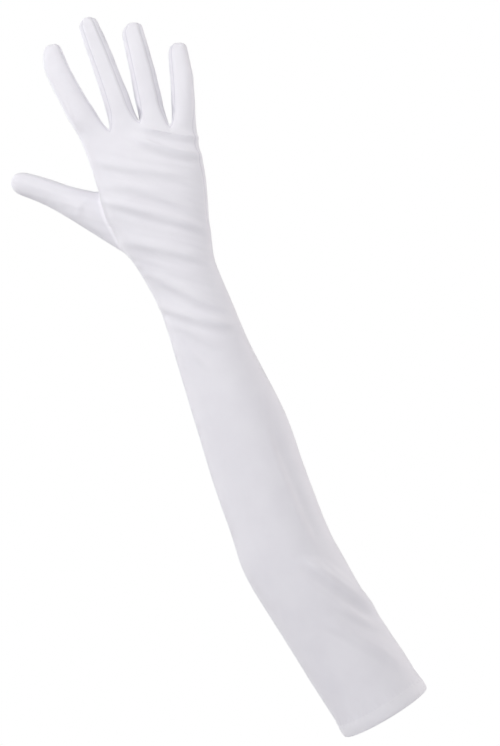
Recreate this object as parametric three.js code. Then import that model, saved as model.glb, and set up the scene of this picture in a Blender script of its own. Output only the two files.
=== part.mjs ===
// A long dress glove for the right hand, in the shape that it has when it is worn.
// Millimetres. The origin is the middle of the cuff's opening and +Z runs up the arm to the fingertips.
// -Y is the back of the hand, +Y the palm, and +X the side of the little finger.
// The cloth is one smooth surface. It is cut into its pieces along the seams, and each piece gets its wall.
import * as THREE from 'three';

// Cloth
const clothWall = 1;
const hemWall = 1.9; // the cuff's cloth is folded double
const hemDepth = 10;
const seamGap = 0.3; // left between two pieces that a seam joins
const leastSpread = 0.4; // limits how far a sharp corner of an outline is drawn back from the seam
const thickestCorner = 1.4; // most that a wall is stretched at a bend, as a share of itself
const leastSlope = 0.1; // keeps that stretch finite

// Heights on the arm
const wristHeight = 372; // where the sleeve passes into the hand
const knuckleHeight = 476; // where the hand passes into the fingers, at the middle of the hand
const riseStart = 415; // from here up the rings of the hand bend towards the knuckle line
const columnsInPlace = 466; // from here up the hand's columns lie under the fingers

// How finely the surface is divided
const sleeveSides = 26;
const sleeveRows = [
  { from: 0, to: hemDepth, rows: 3 },
  { from: hemDepth, to: 150, rows: 14 },
  { from: 150, to: 290, rows: 7 },
  { from: 290, to: wristHeight, rows: 12 },
];
const handRows = [
  { from: wristHeight, to: 412, rows: 8 },
  { from: 412, to: knuckleHeight, rows: 10 },
];
const backSteps = 4; // faces across the back of one finger
const sideSteps = 3; // faces across the side of one finger
const seamAngle = 40; // degrees from a finger's side to the seam of its side strip
const fingerRows = 8;
const thumbBlendRows = 4;

// Sections across the arm and the hand. Width runs from side to side, back and palm are the depths on
// both sides of the middle, lean is how far the little finger's side is turned up, in degrees, and square
// is 2 for an oval and more for a flatter, boxy section.
const armSections = [
  { z: 0, x: 0, y: 0, width: 69, back: 37, palm: 38, lean: 10.8, square: 2 },
  { z: 3, x: -0.6, y: 0, width: 71, back: 37.8, palm: 38.8, lean: 11, square: 2 },
  { z: 8, x: -1.6, y: 0, width: 71.6, back: 38, palm: 39, lean: 11.2, square: 2 },
  { z: 11, x: -2.2, y: 0, width: 70.6, back: 37.6, palm: 38.6, lean: 11.4, square: 2 },
  { z: 24, x: -5, y: 0.5, width: 70.8, back: 37.4, palm: 38.2, lean: 11.9, square: 2 },
  { z: 45, x: -10, y: 1, width: 70.4, back: 37, palm: 37.5, lean: 12.4, square: 2 },
  { z: 80, x: -18.1, y: 2, width: 69, back: 37.5, palm: 36, lean: 12.3, square: 2 },
  { z: 114, x: -24.6, y: 2.5, width: 71, back: 37.5, palm: 35.5, lean: 8, square: 2 },
  { z: 137, x: -28.5, y: 2.5, width: 71.6, back: 36, palm: 35.5, lean: 4, square: 2.05 },
  { z: 168, x: -28.6, y: 2, width: 69.2, back: 34, palm: 34.5, lean: 1, square: 2.05 },
  { z: 197, x: -28.7, y: 1.5, width: 68.9, back: 32.5, palm: 33, lean: 0, square: 2.05 },
  { z: 240, x: -27.5, y: 1, width: 67, back: 30, palm: 30.5, lean: 0, square: 2.1 },
  { z: 271, x: -28.7, y: 0.5, width: 61, back: 27, palm: 27.5, lean: 0, square: 2.1 },
  { z: 301, x: -29.7, y: 0, width: 55.6, back: 23.5, palm: 24, lean: 0, square: 2.15 },
  { z: 332, x: -29.5, y: 0, width: 52.4, back: 20, palm: 20.5, lean: 0, square: 2.2 },
  { z: 348, x: -30.3, y: 0, width: 51.7, back: 18.8, palm: 19.5, lean: 0, square: 2.25 },
  { z: 364, x: -31.6, y: -0.2, width: 54.5, back: 18.2, palm: 19.2, lean: 0, square: 2.3 },
  { z: 378, x: -31.4, y: -0.5, width: 60.2, back: 17.6, palm: 20, lean: 0, square: 2.35 },
  { z: 395, x: -32.2, y: -1, width: 69, back: 17, palm: 21.2, lean: 0, square: 2.4 },
  { z: 405, x: -31, y: -1.2, width: 72.8, back: 16.6, palm: 21, lean: 0, square: 2.4 },
  { z: 420, x: -30.2, y: -1.6, width: 79.6, back: 16, palm: 20, lean: 0, square: 2.45 },
  { z: 437, x: -28.4, y: -2, width: 81.4, back: 15.2, palm: 18, lean: 0, square: 2.5 },
  { z: 451, x: -27.4, y: -2, width: 81.4, back: 14.6, palm: 16, lean: 0, square: 2.5 },
  { z: 463, x: -26.6, y: -1.6, width: 82.6, back: 13.4, palm: 14, lean: 0, square: 2.5 },
  { z: 476, x: -25.9, y: -0.8, width: 86, back: 11.4, palm: 11.8, lean: 0, square: 2.5 },
];

// The line from which the fingers rise, from the index finger's side to the little finger's. Across goes
// from -1 to 1 over the hand's width, and rise is counted from the knuckle height.
const knuckleLine = [
  { across: -0.93, rise: 9 },
  { across: -0.46, rise: 5.5 },
  { across: 0.08, rise: 3.5 },
  { across: 0.54, rise: -7.5 },
  { across: 0.93, rise: -14 },
];

// Sections across the fingers, from the first one over the web to the last one under the rounded tip
const fingers = [
  {
    name: 'index_finger',
    lean: 6,
    sections: [
      { z: 492, x: -60, y: 0.5, width: 20.4, depth: 20.5 },
      { z: 503, x: -62.2, y: 0.9, width: 20, depth: 19.2 },
      { z: 520, x: -64.9, y: 2.2, width: 18.5, depth: 17 },
      { z: 538, x: -67.2, y: 4.4, width: 18.3, depth: 15.6 },
      { z: 548, x: -67.1, y: 6, width: 16.4, depth: 13.6 },
    ],
  },
  {
    name: 'middle_finger',
    lean: 0,
    sections: [
      { z: 490, x: -33.2, y: -0.3, width: 20.4, depth: 20.8 },
      { z: 503, x: -32.6, y: 0.3, width: 19.7, depth: 19.4 },
      { z: 520, x: -32.6, y: 1.8, width: 18.3, depth: 17.2 },
      { z: 545, x: -32.9, y: 5, width: 17, depth: 15 },
      { z: 560, x: -33, y: 7.4, width: 14.6, depth: 12.6 },
    ],
  },
  {
    name: 'ring_finger',
    lean: -6,
    sections: [
      { z: 485, x: -11.4, y: 0, width: 19.6, depth: 19.8 },
      { z: 493, x: -9.9, y: 0.3, width: 19.8, depth: 19 },
      { z: 507, x: -8.1, y: 1.6, width: 19.1, depth: 17.2 },
      { z: 528, x: -5.7, y: 4.4, width: 18, depth: 15.4 },
      { z: 545, x: -4.5, y: 7.2, width: 15.4, depth: 13 },
    ],
  },
  {
    name: 'little_finger',
    lean: -15.7,
    sections: [
      { z: 476, x: 11.6, y: 1, width: 17.6, depth: 17.8 },
      { z: 486, x: 15, y: 1.6, width: 17.4, depth: 16.8 },
      { z: 497, x: 18.1, y: 2.8, width: 17.2, depth: 15.4 },
      { z: 510, x: 21, y: 4.8, width: 16.1, depth: 14 },
      { z: 521, x: 23.3, y: 6.8, width: 14.2, depth: 12 },
    ],
  },
];
const fingerSquare = 2.2;
const fingerTipBend = 0.12; // how far a tip points to the palm's side, for each step along it
const tipHeight = 0.56; // a rounded tip's height, as a share of the last section's width
const tipAngles = [28, 56]; // degrees from the last section to the end, for the rings of the tip
const tipReach = 0.99; // how near to its edge the grid of a tip may come, as a share of its radius

// Sections across the thumb. It leans away from the hand, and its first section is only the direction
// in which each point of the thumb's seam goes.
const thumbLean = 45;
const thumbTipBend = 0.1;
const thumbSections = [
  { along: 0, x: -64, z: 415, y: 10, width: 46, back: 13, palm: 13 },
  { along: 46, x: -85.3, z: 435.2, y: 14.5, width: 24.5, back: 12, palm: 12.5 },
  { along: 53, x: -90.5, z: 439.8, y: 15.2, width: 22.2, back: 10.8, palm: 11.4 },
  { along: 64, x: -98.7, z: 447.2, y: 16.2, width: 20.2, back: 9.6, palm: 10 },
  { along: 78, x: -108.8, z: 456.9, y: 17.4, width: 18.2, back: 8.6, palm: 8.8 },
  { along: 88, x: -116, z: 463.7, y: 18.4, width: 17.4, back: 7.8, palm: 8 },
];
const thumbRows = 5;
const thumbTurn = 0.15; // share of the way over which the seam's points swing into the thumb's direction
const thumbEven = 0.5; // how evenly the first section's points are spread; the last one's are quite even
const thumbSwell = 1.3; // how far the ball of the thumb bulges between its seam and the first section

// The opening for the thumb in the hand's surface, in the columns and rows of its faces
const thumbHole = { firstColumn: 30, lastColumn: 36, firstRow: 3, lastRow: 12, roundness: 3.2, reach: 0.8 };

// Forms of the palm, and folds of the worn cloth. Each runs from a start over a middle to an end, seen
// from the back of the hand. Height is how far it stands up, or lies in where it is negative, and width is
// half of its breadth.
const folds = [
  { side: 'palm', x0: -42, z0: 386, x1: -36, z1: 425, x2: -34, z2: 462, width: 13, height: -3 },
  { side: 'palm', x0: -10, z0: 378, x1: -3, z1: 405, x2: 2, z2: 440, width: 11, height: 1.6 },
  { side: 'palm', x0: -58, z0: 466, x1: -22, z1: 465, x2: 8, z2: 451, width: 8, height: 1.2 },
  { side: 'back', x0: -20.8, z0: 472, x1: -5, z1: 451, x2: 14, z2: 452, width: 4.5, height: -0.6 },
  { side: 'back', x0: -24, z0: 465, x1: -10, z1: 441, x2: 14, z2: 441, width: 5, height: -0.7 },
  { side: 'back', x0: -62, z0: 431, x1: -30, z1: 407, x2: 2, z2: 384, width: 6, height: 1.1 },
  { side: 'back', x0: -58, z0: 420, x1: -26, z1: 398, x2: 3, z2: 376, width: 5, height: -0.8 },
  { side: 'back', x0: -58, z0: 403, x1: -36, z1: 385, x2: -16, z2: 376, width: 5, height: -0.6 },
  { side: 'back', x0: -44, z0: 353, x1: -26, z1: 331, x2: 0, z2: 322, width: 4.5, height: -1.1 },
  { side: 'back', x0: -54, z0: 349, x1: -30, z1: 323, x2: 0, z2: 316, width: 4.5, height: 1 },
  { side: 'back', x0: -51, z0: 340, x1: -34, z1: 319, x2: -6, z2: 309, width: 4.5, height: -1 },
  { side: 'back', x0: -22, z0: 152, x1: -8, z1: 96, x2: 20, z2: 86, width: 7, height: -1.6 },
  { side: 'back', x0: -8, z0: 138, x1: 4, z1: 120, x2: 16, z2: 101, width: 8, height: 1.7 },
  { side: 'back', x0: -10, z0: 92, x1: 8, z1: 81, x2: 26, z2: 71, width: 7, height: 1.6 },
  { side: 'back', x0: -6, z0: 76, x1: 11, z1: 67, x2: 28, z2: 57, width: 6, height: -1.4 },
  { side: 'back', x0: -8, z0: 67, x1: 5, z1: 52, x2: 16, z2: 42, width: 6, height: -0.6 },
  { side: 'palm', x0: -50, z0: 350, x1: -28, z1: 343, x2: -6, z2: 348, width: 5, height: -1 },
  { side: 'palm', x0: -52, z0: 330, x1: -28, z1: 322, x2: -6, z2: 328, width: 6, height: 0.8 },
  { side: 'palm', x0: -56, z0: 128, x1: -24, z1: 112, x2: 8, z2: 118, width: 9, height: -1.8 },
  { side: 'palm', x0: -50, z0: 100, x1: -20, z1: 86, x2: 12, z2: 94, width: 8, height: 1.3 },
];
const foldSamples = 24;
const foldEnd = 0.16; // share of a fold's length over which it dies out at each end
const foldFacing = { none: -0.45, full: 0.25 }; // a fold dies out where the surface turns from its side

// Colours
const clothColour = 0xf1f0f3;
const stripColour = 0xeae8ee;
const hemColour = 0xeeecf1;
const clothRoughness = 0.72;

const handSteps = 4 * backSteps; // faces across the back of the hand, and across the palm
const handSides = 2 * (handSteps + sideSteps);

// Returns a function that reads every column of a table at a place between its rows
function tableReader(rows, placeColumn) {
  const columns = Object.keys(rows[0]);
  const places = Float32Array.from(rows, (row) => row[placeColumn]);
  const values = Float32Array.from(rows.flatMap((row) => columns.map((column) => row[column])));
  const curve = new THREE.CubicInterpolant(places, values, columns.length);
  return (place) => {
    const found = curve.evaluate(place);
    return Object.fromEntries(columns.map((column, index) => [column, found[index]]));
  };
}

function toRadians(degrees) {
  return THREE.MathUtils.degToRad(degrees);
}

function signedPower(value, power) {
  return Math.sign(value) * Math.abs(value) ** power;
}

// How far across a section an angle lies, from -1 to 1. Angle 0 is +X and 270 degrees is the back.
function acrossAt(section, angle) {
  return signedPower(Math.cos(angle), 2 / section.square);
}

function sectionPoint(section, angle) {
  const across = acrossAt(section, angle) * section.width / 2;
  const share = signedPower(Math.sin(angle), 2 / section.square);
  const depth = share * (share < 0 ? section.back : section.palm);
  const lean = toRadians(section.lean);
  return new THREE.Vector3(
    section.x + across * Math.cos(lean),
    section.y + depth,
    section.z + across * Math.sin(lean),
  );
}

// Values from one end to the other, without the last
function steps(from, to, count) {
  return Array.from({ length: count }, (_, index) => from + (to - from) * index / count);
}

function heightsOf(bands) {
  return [...bands.flatMap((band) => steps(band.from, band.to, band.rows)), bands[bands.length - 1].to];
}

// Angles round a section with seams at its four corners: over the back, round the side, over the palm, back
function ringAngles(backCount, sideCount, corner) {
  return [
    ...steps(180 + corner, 360 - corner, backCount),
    ...steps(360 - corner, 360 + corner, sideCount),
    ...steps(360 + corner, 540 - corner, backCount),
    ...steps(540 - corner, 540 + corner, sideCount),
  ].map(toRadians);
}

function newSurface() {
  return { points: [], faces: [] };
}

function addPoint(surface, point) {
  surface.points.push(point);
  return surface.points.length - 1;
}

function addRing(surface, section, angles) {
  return angles.map((angle) => addPoint(surface, sectionPoint(section, angle)));
}

function addBand(surface, lowRing, highRing, pieceOf) {
  lowRing.forEach((low, index) => {
    const next = (index + 1) % lowRing.length;
    const corners = [low, lowRing[next], highRing[next], highRing[index]];
    surface.faces.push({ corners, piece: pieceOf(index) });
  });
}

// Closes a ring with a grid of faces over its rounded end, wide faces across and deep faces deep
function addCap(surface, ring, wide, deep, raise, piece) {
  const grid = Array.from({ length: wide + 1 }, () => new Array(deep + 1));
  ring.forEach((point, index) => {
    if (index <= wide) grid[index][0] = point;
    else if (index <= wide + deep) grid[wide][index - wide] = point;
    else if (index <= 2 * wide + deep) grid[2 * wide + deep - index][deep] = point;
    else grid[0][ring.length - index] = point;
  });
  const placeOf = (column, row) => surface.points[grid[column][row]];
  for (let column = 1; column < wide; column += 1) {
    for (let row = 1; row < deep; row += 1) {
      const u = column / wide;
      const v = row / deep;
      const acrossWay = placeOf(0, row).clone().lerp(placeOf(wide, row), u);
      const upWay = placeOf(column, 0).clone().lerp(placeOf(column, deep), v);
      const lowCorners = placeOf(0, 0).clone().lerp(placeOf(wide, 0), u);
      const highCorners = placeOf(0, deep).clone().lerp(placeOf(wide, deep), u);
      const flat = acrossWay.add(upWay).sub(lowCorners.lerp(highCorners, v));
      grid[column][row] = addPoint(surface, raise(flat));
    }
  }
  for (let column = 0; column < wide; column += 1) {
    const left = grid[column];
    const right = grid[column + 1];
    for (let row = 0; row < deep; row += 1) {
      surface.faces.push({ corners: [left[row], right[row], right[row + 1], left[row + 1]], piece });
    }
  }
}

// Adds rings that round off a section into a tip, and the cap that closes it
function addTip(surface, lastRing, section, angles, axis, wide, deep, piece) {
  const height = tipHeight * section.width;
  const middle = new THREE.Vector3(section.x, section.y, section.z);
  let ring = lastRing;
  tipAngles.forEach((degrees) => {
    const shrink = Math.cos(toRadians(degrees));
    const lift = axis.clone().multiplyScalar(height * Math.sin(toRadians(degrees)));
    const next = angles.map((angle) => {
      const point = sectionPoint(section, angle).sub(middle).multiplyScalar(shrink);
      return addPoint(surface, point.add(middle).add(lift));
    });
    addBand(surface, ring, next, () => piece);
    ring = next;
  });
  const raise = (flat) => {
    const offset = flat.clone().sub(middle);
    const alongAxis = axis.clone().multiplyScalar(offset.dot(axis));
    const aside = offset.clone().sub(alongAxis);
    const share = Math.min(tipReach, aside.length() / (section.width / 2));
    return middle.clone().add(aside).addScaledVector(axis, height * Math.sqrt(1 - share ** 2));
  };
  addCap(surface, ring, wide, deep, raise, piece);
}

const readArm = tableReader(armSections, 'z');

// The sleeve, from the hem to the wrist
function makeSleeve() {
  const surface = newSurface();
  const angles = steps(180, 540, sleeveSides).map(toRadians);
  const heights = heightsOf(sleeveRows);
  const rings = heights.map((height) => addRing(surface, readArm(height), angles));
  rings.slice(1).forEach((ring, index) => {
    const piece = heights[index + 1] <= hemDepth ? 'cuff_hem' : 'arm_sleeve';
    addBand(surface, rings[index], ring, () => piece);
  });
  return surface;
}

// The hand. Its columns are spread evenly at the wrist and lie under the fingers at the knuckles.
const handHeights = heightsOf(handRows);
const riseCurve = new THREE.LinearInterpolant(
  knuckleLine.map((row) => row.across),
  knuckleLine.map((row) => row.rise),
  1,
);

function riseAt(across) {
  const last = knuckleLine.length - 1;
  const inside = THREE.MathUtils.clamp(across, knuckleLine[0].across, knuckleLine[last].across);
  return riseCurve.evaluate(inside)[0];
}

// The angle at which a column of the hand crosses the knuckle line
function knuckleAngle(column, section) {
  const palmStart = handSteps + sideSteps;
  const onBack = column <= handSteps;
  const onPalm = column >= palmStart && column <= palmStart + handSteps;
  if (onBack || onPalm) {
    const place = onBack ? column : palmStart + handSteps - column;
    const finger = Math.min(Math.floor(place / backSteps), fingers.length - 1);
    const share = place / backSteps - finger;
    const across = THREE.MathUtils.lerp(knuckleLine[finger].across, knuckleLine[finger + 1].across, share);
    const angle = Math.acos(signedPower(across, section.square / 2));
    return onBack ? 2 * Math.PI - angle : 2 * Math.PI + angle;
  }
  const low = column < palmStart ? handSteps : palmStart + handSteps;
  const start = knuckleAngle(low, section);
  const turn = column < palmStart ? 2 * Math.PI : 3 * Math.PI;
  return THREE.MathUtils.lerp(start, 2 * turn - start, (column - low) / sideSteps);
}

// The angle of a column where the columns are spread evenly
function roundAngleAt(column) {
  return Math.PI + (2 * Math.PI) * (column + sideSteps / 2) / handSides;
}

function handPoint(column, height) {
  const section = readArm(height);
  const share = THREE.MathUtils.smoothstep(height, wristHeight, columnsInPlace);
  const angle = THREE.MathUtils.lerp(roundAngleAt(column), knuckleAngle(column, section), share);
  const point = sectionPoint(section, angle);
  const ramp = THREE.MathUtils.smoothstep(height, riseStart, knuckleHeight);
  point.z += riseAt(acrossAt(section, angle)) * ramp;
  return point;
}

// Rounds the corners of the thumb's opening: gives the column and row at which a grid point is placed
function roundedPlace(column, row) {
  const middleColumn = (thumbHole.firstColumn + thumbHole.lastColumn) / 2;
  const middleRow = (thumbHole.firstRow + thumbHole.lastRow) / 2;
  const u = (column - middleColumn) / (thumbHole.lastColumn - middleColumn);
  const v = (row - middleRow) / (thumbHole.lastRow - middleRow);
  const size = Math.max(Math.abs(u), Math.abs(v), 1);
  const power = thumbHole.roundness;
  const oval = (Math.abs(u / size) ** power + Math.abs(v / size) ** power) ** (-1 / power);
  const pull = Math.max(0, 1 - (size - 1) / thumbHole.reach);
  const scale = 1 + (Math.min(oval, 1) - 1) * pull;
  return {
    column: middleColumn + (column - middleColumn) * scale,
    row: middleRow + (row - middleRow) * scale,
  };
}

function handHeightAt(row) {
  const low = Math.min(Math.floor(row), handHeights.length - 2);
  return THREE.MathUtils.lerp(handHeights[low], handHeights[low + 1], row - low);
}

function isInThumbHole(column, row) {
  const inColumns = column >= thumbHole.firstColumn && column < thumbHole.lastColumn;
  return inColumns && row >= thumbHole.firstRow && row < thumbHole.lastRow;
}

function addPalmAndBack(surface) {
  const rings = handHeights.map((_, row) => Array.from({ length: handSides }, (__, column) => {
    const place = roundedPlace(column, row);
    return addPoint(surface, handPoint(place.column, handHeightAt(place.row)));
  }));
  rings.slice(1).forEach((ring, row) => {
    addBand(surface, rings[row], ring, (column) => (isInThumbHole(column, row) ? null : 'hand'));
  });
  surface.faces = surface.faces.filter((face) => face.piece !== null);
  return rings;
}

// The line of points across the web between two fingers, from the back to the palm
function addWeb(surface, backPoint, palmPoint) {
  const start = surface.points[backPoint];
  const end = surface.points[palmPoint];
  return Array.from({ length: sideSteps - 1 }, (_, index) => {
    const point = start.clone().lerp(end, (index + 1) / sideSteps);
    return addPoint(surface, point);
  });
}

function stripName(index) {
  return `fourchette_${fingers[index - 1].name.split('_')[0]}_${fingers[index].name.split('_')[0]}`;
}

function fingerPiece(fingerIndex, column) {
  const palmStart = backSteps + sideSteps;
  const onRightSide = column >= backSteps && column < palmStart;
  const onLeftSide = column >= palmStart + backSteps;
  if (onRightSide && fingerIndex < fingers.length - 1) return stripName(fingerIndex + 1);
  if (onLeftSide && fingerIndex > 0) return stripName(fingerIndex);
  return fingers[fingerIndex].name;
}

function fingerBase(knuckles, webs, fingerIndex) {
  const first = backSteps * fingerIndex;
  const last = first + backSteps;
  const palmEnd = 2 * handSteps + sideSteps;
  const backPoints = knuckles.slice(first, last + 1);
  const palmPoints = knuckles.slice(palmEnd - last, palmEnd - first + 1);
  const rightPoints = webs[last] ?? knuckles.slice(handSteps + 1, handSteps + sideSteps);
  const leftPoints = webs[first] ? [...webs[first]].reverse() : knuckles.slice(palmEnd + 1);
  return [...backPoints, ...rightPoints, ...palmPoints, ...leftPoints];
}

function addFingers(surface, knuckles) {
  const webs = {};
  const crotches = new Set();
  for (let index = 1; index < fingers.length; index += 1) {
    const backColumn = backSteps * index;
    const palmColumn = 2 * handSteps + sideSteps - backColumn;
    webs[backColumn] = addWeb(surface, knuckles[backColumn], knuckles[palmColumn]);
    crotches.add(knuckles[backColumn]).add(knuckles[palmColumn]);
    webs[backColumn].forEach((point) => crotches.add(point));
  }
  const angles = ringAngles(backSteps, sideSteps, seamAngle);
  fingers.forEach((finger, fingerIndex) => {
    const readFinger = tableReader(finger.sections, 'z');
    const bottom = finger.sections[0].z;
    const top = finger.sections[finger.sections.length - 1].z;
    const lean = toRadians(finger.lean);
    let ring = fingerBase(knuckles, webs, fingerIndex);
    let section;
    for (let row = 0; row <= fingerRows; row += 1) {
      const found = readFinger(THREE.MathUtils.lerp(bottom, top, row / fingerRows));
      const half = found.depth / 2;
      section = { ...found, back: half, palm: half, lean: finger.lean, square: fingerSquare };
      const next = addRing(surface, section, angles);
      const last = row === fingerRows;
      addBand(surface, ring, next, (column) => (last ? finger.name : fingerPiece(fingerIndex, column)));
      ring = next;
    }
    const axis = new THREE.Vector3(-Math.sin(lean), fingerTipBend, Math.cos(lean)).normalize();
    addTip(surface, ring, section, angles, axis, backSteps, sideSteps, finger.name);
  });
  return crotches;
}

// The edge of the thumb's opening, in the order in which it runs round the thumb
function thumbSeam(rings) {
  const { firstColumn, lastColumn, firstRow, lastRow } = thumbHole;
  const seam = [];
  for (let column = firstColumn; column < lastColumn; column += 1) seam.push(rings[firstRow][column]);
  for (let row = firstRow; row < lastRow; row += 1) seam.push(rings[row][lastColumn]);
  for (let column = lastColumn; column > firstColumn; column -= 1) seam.push(rings[lastRow][column]);
  for (let row = lastRow; row > firstRow; row -= 1) seam.push(rings[row][firstColumn]);
  return seam;
}

function angleRound(section, point) {
  const lean = toRadians(section.lean);
  const across = (point.x - section.x) * Math.cos(lean) + (point.z - section.z) * Math.sin(lean);
  const depth = point.y - section.y;
  return Math.atan2(depth / (depth < 0 ? section.back : section.palm), across / (section.width / 2));
}

function addThumb(surface, rings) {
  const readThumb = tableReader(thumbSections, 'along');
  const thumbSection = (along) => ({ ...readThumb(along), lean: thumbLean, square: 2 });
  const seam = thumbSeam(rings);
  const base = thumbSection(0);
  const seamAngles = [];
  seam.forEach((index) => {
    let angle = angleRound(base, surface.points[index]);
    const before = seamAngles[seamAngles.length - 1];
    while (before !== undefined && angle < before - Math.PI / 2) angle += 2 * Math.PI;
    seamAngles.push(angle);
  });
  const evenAngles = steps(seamAngles[0], seamAngles[0] + 2 * Math.PI, seam.length);
  const anglesAt = (share) => seamAngles.map((angle, index) => (
    THREE.MathUtils.lerp(angle, evenAngles[index], share)
  ));
  const start = thumbSections[1].along;
  const end = thumbSections[thumbSections.length - 1].along;
  const lean = toRadians(thumbLean);
  const axis = new THREE.Vector3(-Math.sin(lean), thumbTipBend, Math.cos(lean)).normalize();

  // From the seam to the first section the cloth swings smoothly into the thumb's direction
  const firstAngles = anglesAt(thumbEven);
  const first = thumbSection(start);
  const middle = new THREE.Vector3(first.x, first.y, first.z);
  let ring = seam;
  for (let row = 1; row <= thumbBlendRows; row += 1) {
    const next = seam.map((index, place) => {
      const from = surface.points[index];
      const to = sectionPoint(first, firstAngles[place]);
      const turn = to.clone().sub(axis.clone().multiplyScalar(thumbTurn * from.distanceTo(to)));
      const path = new THREE.QuadraticBezierCurve3(from, turn, to);
      const point = path.getPoint(row / thumbBlendRows);
      const outward = to.clone().sub(middle).normalize();
      const onBall = Math.max(0, -Math.cos(firstAngles[place]));
      const swell = thumbSwell * onBall * Math.sin(Math.PI * row / thumbBlendRows);
      return addPoint(surface, point.addScaledVector(outward, swell));
    });
    addBand(surface, ring, next, () => 'thumb');
    ring = next;
  }
  let section;
  let angles;
  for (let row = 1; row <= thumbRows; row += 1) {
    const share = row / thumbRows;
    section = thumbSection(THREE.MathUtils.lerp(start, end, share));
    angles = anglesAt(THREE.MathUtils.lerp(thumbEven, 1, share));
    const next = addRing(surface, section, angles);
    addBand(surface, ring, next, () => 'thumb');
    ring = next;
  }
  const wide = thumbHole.lastColumn - thumbHole.firstColumn;
  const deep = thumbHole.lastRow - thumbHole.firstRow;
  addTip(surface, ring, section, angles, axis, wide, deep, 'thumb');
}

function makeHand() {
  const surface = newSurface();
  const rings = addPalmAndBack(surface);
  const crotches = addFingers(surface, rings[rings.length - 1]);
  addThumb(surface, rings);
  return { ...surface, crotches };
}

function faceNormal(surface, face) {
  const [a, b, c, d] = face.corners.map((index) => surface.points[index]);
  return c.clone().sub(a).cross(d.clone().sub(b)).normalize();
}

// The mean normal at every point, over the faces that are let through
function pointNormals(surface, counts) {
  const normals = surface.points.map(() => new THREE.Vector3());
  surface.faces.forEach((face) => {
    const normal = faceNormal(surface, face);
    face.corners.forEach((corner) => {
      if (counts(face, corner)) normals[corner].add(normal);
    });
  });
  return normals.map((normal) => normal.normalize());
}

function foldHeight(fold, point, normal) {
  const facing = fold.side === 'back' ? -normal.y : normal.y;
  const onSide = THREE.MathUtils.smoothstep(facing, foldFacing.none, foldFacing.full);
  let nearest = Infinity;
  let share = 0;
  fold.samples.forEach((sample, index) => {
    const distance = Math.hypot(point.x - sample.x, point.z - sample.y);
    if (distance < nearest) {
      nearest = distance;
      share = index / foldSamples;
    }
  });
  const fade = Math.min(1, Math.min(share, 1 - share) / foldEnd);
  return fold.height * onSide * fade * Math.exp(-((nearest / fold.width) ** 2));
}

function pressFolds(surface) {
  const normals = pointNormals(surface, () => true);
  const paths = folds.map((fold) => {
    const curve = new THREE.QuadraticBezierCurve(
      new THREE.Vector2(fold.x0, fold.z0),
      new THREE.Vector2(fold.x1, fold.z1),
      new THREE.Vector2(fold.x2, fold.z2),
    );
    return { ...fold, samples: curve.getPoints(foldSamples) };
  });
  surface.points.forEach((point, index) => {
    const lift = paths.reduce((sum, fold) => sum + foldHeight(fold, point, normals[index]), 0);
    point.addScaledVector(normals[index], lift);
  });
}

function edgeKey(from, to) {
  return `${from} ${to}`;
}

// The edges of a piece's outline, each with the direction that points into the piece
function outlineEdges(surface, faces) {
  const known = new Set(faces.flatMap((face) => face.corners.map((corner, index) => (
    edgeKey(corner, face.corners[(index + 1) % 4])
  ))));
  return faces.flatMap((face) => {
    const normal = faceNormal(surface, face);
    return face.corners.flatMap((from, index) => {
      const to = face.corners[(index + 1) % 4];
      if (known.has(edgeKey(to, from))) return [];
      const along = surface.points[to].clone().sub(surface.points[from]).normalize();
      return [{ from, to, inward: normal.clone().cross(along).normalize() }];
    });
  });
}

// Draws a piece's outline back from the seam by half of the gap. Where a side strip ends at a web,
// it lies behind the wall of the hand.
function drawBack(surface, edges, place, isStrip, wall) {
  const meeting = new Map();
  edges.forEach((edge) => {
    [edge.from, edge.to].forEach((index) => {
      meeting.set(index, [...(meeting.get(index) ?? []), edge.inward]);
    });
  });
  meeting.forEach((inwards, index) => {
    const atWeb = isStrip && surface.crotches?.has(index);
    const [one, other = one] = inwards;
    const reach = atWeb ? wall + seamGap : seamGap / 2;
    const spread = Math.max(leastSpread, 1 + one.dot(other));
    place.get(index).addScaledVector(one, reach / spread).addScaledVector(other, reach / spread);
  });
}

// Cuts a face into two triangles along the diagonal that leaves them flatter, as places in its corners
function diagonalOf(surface, face) {
  const [a, b, c, d] = face.corners.map((index) => surface.points[index]);
  const fold = (one, two, three, four) => {
    const left = two.clone().sub(one).cross(three.clone().sub(one)).normalize();
    const right = three.clone().sub(one).cross(four.clone().sub(one)).normalize();
    return left.dot(right);
  };
  return fold(a, b, c, d) >= fold(b, c, d, a) ? [[0, 1, 2], [0, 2, 3]] : [[1, 2, 3], [1, 3, 0]];
}

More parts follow.
